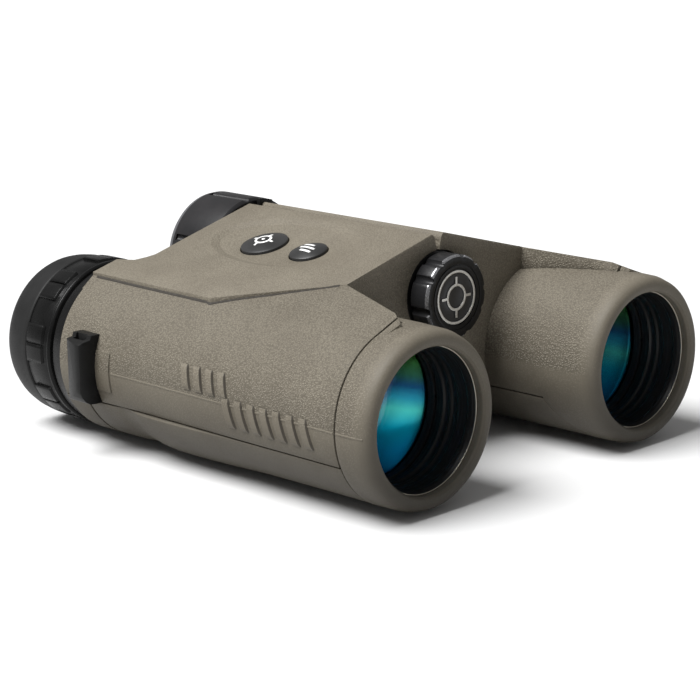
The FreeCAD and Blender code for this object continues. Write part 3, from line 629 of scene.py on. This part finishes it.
def moulding_line(side):
    """Thin raised parting line along the middle of the barrel's side."""
    tree = probe([side + "_side_grip", side + "_main_armour"])
    runs = []
    for y0_mm, y1_mm in LINE_RUNS_MM:
        steps = max(4, int((y1_mm - y0_mm) / 2.0))
        run = []
        for step in range(steps + 1):
            y = LIP_Y + (y0_mm + (y1_mm - y0_mm) * step / steps) * MM
            run.append([on_barrel(tree, side, y, angle, lift) for angle, lift in LINE_PROFILE])
        runs.append(run)
    strip(side + "_moulding_line", runs, side + "_half", MATERIALS["deck"])


def deck_edge_shadow(side):
    """Dark strip in the ledge along the deck's outer edge, from the eyepiece to the front corner:
    painted shadow standing in for the shadow under the deck's overhanging edge.
    """
    tree = probe([side + "_side_grip", side + "_main_armour"])
    node = frame["nodes"][side + "_deck"]
    spots = [node.matrix_world @ v.co for v in node.data.vertices]
    front_y = min(p.y for p in spots)
    rear_y = max(p.y for p in spots)
    widest = max(spots, key=lambda p: (round(abs(p.x), 5), -p.y))
    front = max((p for p in spots if p.y < front_y + 0.3 * MM), key=lambda p: abs(p.x))
    rear = max((p for p in spots if p.y > rear_y - 0.6 * MM), key=lambda p: abs(p.x))
    start = widest + (front - widest) * SHADOW_STRIP_START
    run = []
    for a, b in ((start, widest), (widest, rear)):
        outward = Vector((sign(side) * abs(b.y - a.y), -abs(b.x - a.x), 0)).normalized()
        for step in range(SHADOW_STRIP_STEPS + 1):
            centre = a + (b - a) * step / SHADOW_STRIP_STEPS
            row = []
            for off, lift in SHADOW_STRIP_PROFILE_MM:
                spot = centre + outward * off * MM
                hit = tree.ray_cast(Vector((spot.x, spot.y, ABOVE_ALL_Z)), Vector((0, 0, -1)))[0]
                if hit is not None:
                    row.append(hit + Vector((0, 0, lift * MM)))
            if len(row) == 4:
                run.append(row)
    strip(side + "_deck_edge_shadow", [run], side + "_half", DECK_SHADOW_STRIP)


def sleeve_edge(side):
    """Thin bright metal ring where the objective sleeve meets the rubber lip: a painted highlight
    along that edge.
    """
    centre_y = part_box(side + "_objective_sleeve")[0].y - 0.02 * MM
    turns, corners = 96, 8
    points, faces = [], []
    for j in range(turns):
        a = 2 * math.pi * j / turns
        for k in range(corners):
            c = 2 * math.pi * k / corners
            r = EDGE_R + EDGE_SIZE * math.cos(c)
            points.append(Vector((sign(side) * AXIS_X + r * math.cos(a),
                                  centre_y + EDGE_SIZE * math.sin(c),
                                  AXIS_Z + r * math.sin(a))))
    for j in range(turns):
        for k in range(corners):
            here, there = j * corners, (j + 1) % turns * corners
            after = (k + 1) % corners
            faces.append((here + k, here + after, there + after, there + k))
    piece_from(side + "_sleeve_edge", points, faces, side + "_half", HIGHLIGHT_RING)


for side in SIDES:
    side_ribs(side)
    moulding_line(side)
    deck_edge_shadow(side)
    sleeve_edge(side)


# ---- printed marks on the buttons -------------------------------------------------------
def button_surface(node, joint_name):
    """Apex, normal and two in-plane directions of a domed button."""
    joint = [j for j in frame["record"]["behaviour"]["joints"] if j["name"] == joint_name][0]
    normal = Vector(joint["axis"]).normalized()
    button = frame["nodes"][node]
    places = [button.matrix_world @ v.co for v in button.data.vertices]
    apex = max(places, key=lambda p: p.dot(normal))
    return apex, normal, Vector((0, 1, 0)), normal.cross(Vector((0, 1, 0))).normalized()


MARK_LIFT = 0.035 * MM
MARK_THICKNESS = 0.06 * MM


def printed_mark(name, node, joint_name, patches):
    """White marks that follow the dome. Each patch is a grid of (along, across) points in mm."""
    apex, normal, along, across = button_surface(node, joint_name)
    tree = probe([node])
    points, faces = [], []
    for patch in patches:
        base = len(points)
        width = len(patch[0])
        for row in patch:
            for a, b in row:
                spot = apex + (along * a + across * b) * MM
                hit = tree.ray_cast(spot + normal * 2 * MM, -normal)[0]
                points.append((spot if hit is None else hit) + normal * MARK_LIFT)
        for i in range(len(patch) - 1):
            for j in range(width - 1):
                k = base + i * width + j
                faces.append((k, k + 1, k + width + 1, k + width))
    piece = piece_from(name, points, faces, node, MARK)
    solid = piece.modifiers.new("thick", "SOLIDIFY")
    solid.thickness = MARK_THICKNESS
    solid.offset = 0.0


def arc_patch(inner, outer, start, end, steps=48):
    """Part of a flat ring as a grid."""
    turns = [math.radians(start + (end - start) * i / steps) for i in range(steps + 1)]
    return [[(r * math.cos(t), r * math.sin(t)) for r in (inner, outer)] for t in turns]


def bar_patch(a0, a1, b0, b1, steps=4):
    """Straight bar as a grid."""
    return [[(a0 + (a1 - a0) * i / steps, b0 + (b1 - b0) * j / steps) for j in range(steps + 1)]
            for i in range(steps + 1)]


printed_mark("range_mark", "range_button", "range_button_press", [
    arc_patch(1.65, 2.25, 0, 360),
    bar_patch(1.9, 3.3, -0.27, 0.27), bar_patch(-3.3, -1.9, -0.27, 0.27),
    bar_patch(-0.27, 0.27, 1.9, 3.3), bar_patch(-0.27, 0.27, -3.3, -1.9),
    arc_patch(0.0, 0.45, 0, 360)])
printed_mark("mode_mark", "mode_button", "mode_button_press", [
    bar_patch(-2.4, 2.4, -0.36, 0.36), bar_patch(-2.4, 1.1, 1.15, 1.85),
    bar_patch(-1.1, 2.4, -1.85, -1.15)])


# ---- stage, light and camera ------------------------------------------------------------
WORLD_STRENGTH = 0.3
KEY_ENERGY = 6.0
KEY_ANGLE = 38                # degrees, for soft shadow edges
KEY_DIRECTION = (0.48, -0.15, -0.86)
VIEW_AZIMUTH = -44.065        # degrees
VIEW_ELEVATION = 13.715
VIEW_ROLL = -0.858
CAMERA_PLACE = (-0.37617, -0.38978, 0.15291)
CAMERA_LENS = 112.93          # mm, on a 36 mm sensor


def floor():
    """Plain pale floor that the barrels rest on."""
    half = 3.0
    mesh = bpy.data.meshes.new("floor")
    corners = [(-half, -half, 0), (half, -half, 0), (half, half, 0), (-half, half, 0)]
    mesh.from_pydata(corners, [], [(0, 1, 2, 3)])
    piece = bpy.data.objects.new("floor", mesh)
    bpy.context.collection.objects.link(piece)
    s = Shader("pale_floor", (0.6, 0.6, 0.6), 0.9)
    s.feed(s.grey(s.noise(60.0, 2.0), 0.85, 0.95), "Roughness")
    s.set("Specular IOR Level", 0.1)
    paint(piece, s.material)


def studio():
    """One broad soft key from high on the right barrel's side and a little behind the object,
    and dim white surroundings."""
    world = bpy.data.worlds.new("studio")
    world.use_nodes = True
    background = world.node_tree.nodes["Background"]
    background.inputs["Color"].default_value = (1, 1, 1, 1)
    background.inputs["Strength"].default_value = WORLD_STRENGTH
    bpy.context.scene.world = world
    data = bpy.data.lights.new("key", "SUN")
    data.energy = KEY_ENERGY
    data.angle = math.radians(KEY_ANGLE)
    lamp = bpy.data.objects.new("key", data)
    bpy.context.collection.objects.link(lamp)
    lamp.rotation_mode = "QUATERNION"
    lamp.rotation_quaternion = Vector(KEY_DIRECTION).to_track_quat("-Z", "Y")


def camera():
    """Camera at the viewing angle of the reference: high on the front right of the object."""
    azimuth = math.radians(VIEW_AZIMUTH)
    elevation = math.radians(VIEW_ELEVATION)
    roll = math.radians(VIEW_ROLL)
    back = Vector((
        math.sin(azimuth) * math.cos(elevation),
        -math.cos(azimuth) * math.cos(elevation),
        math.sin(elevation)))
    level = Vector((math.cos(azimuth), math.sin(azimuth), 0))
    upward = back.cross(level)
    right = level * math.cos(roll) + upward * math.sin(roll)
    up = upward * math.cos(roll) - level * math.sin(roll)
    data = bpy.data.cameras.new("camera")
    data.lens = CAMERA_LENS
    data.sensor_width = 36.0
    data.clip_start = 0.01
    cam = bpy.data.objects.new("camera", data)
    bpy.context.collection.objects.link(cam)
    turn = Matrix((right, up, back)).transposed().to_4x4()
    cam.matrix_world = Matrix.Translation(CAMERA_PLACE) @ turn
    bpy.context.scene.camera = cam


floor()
studio()
camera()
bpy.context.scene.view_settings.view_transform = "Standard"
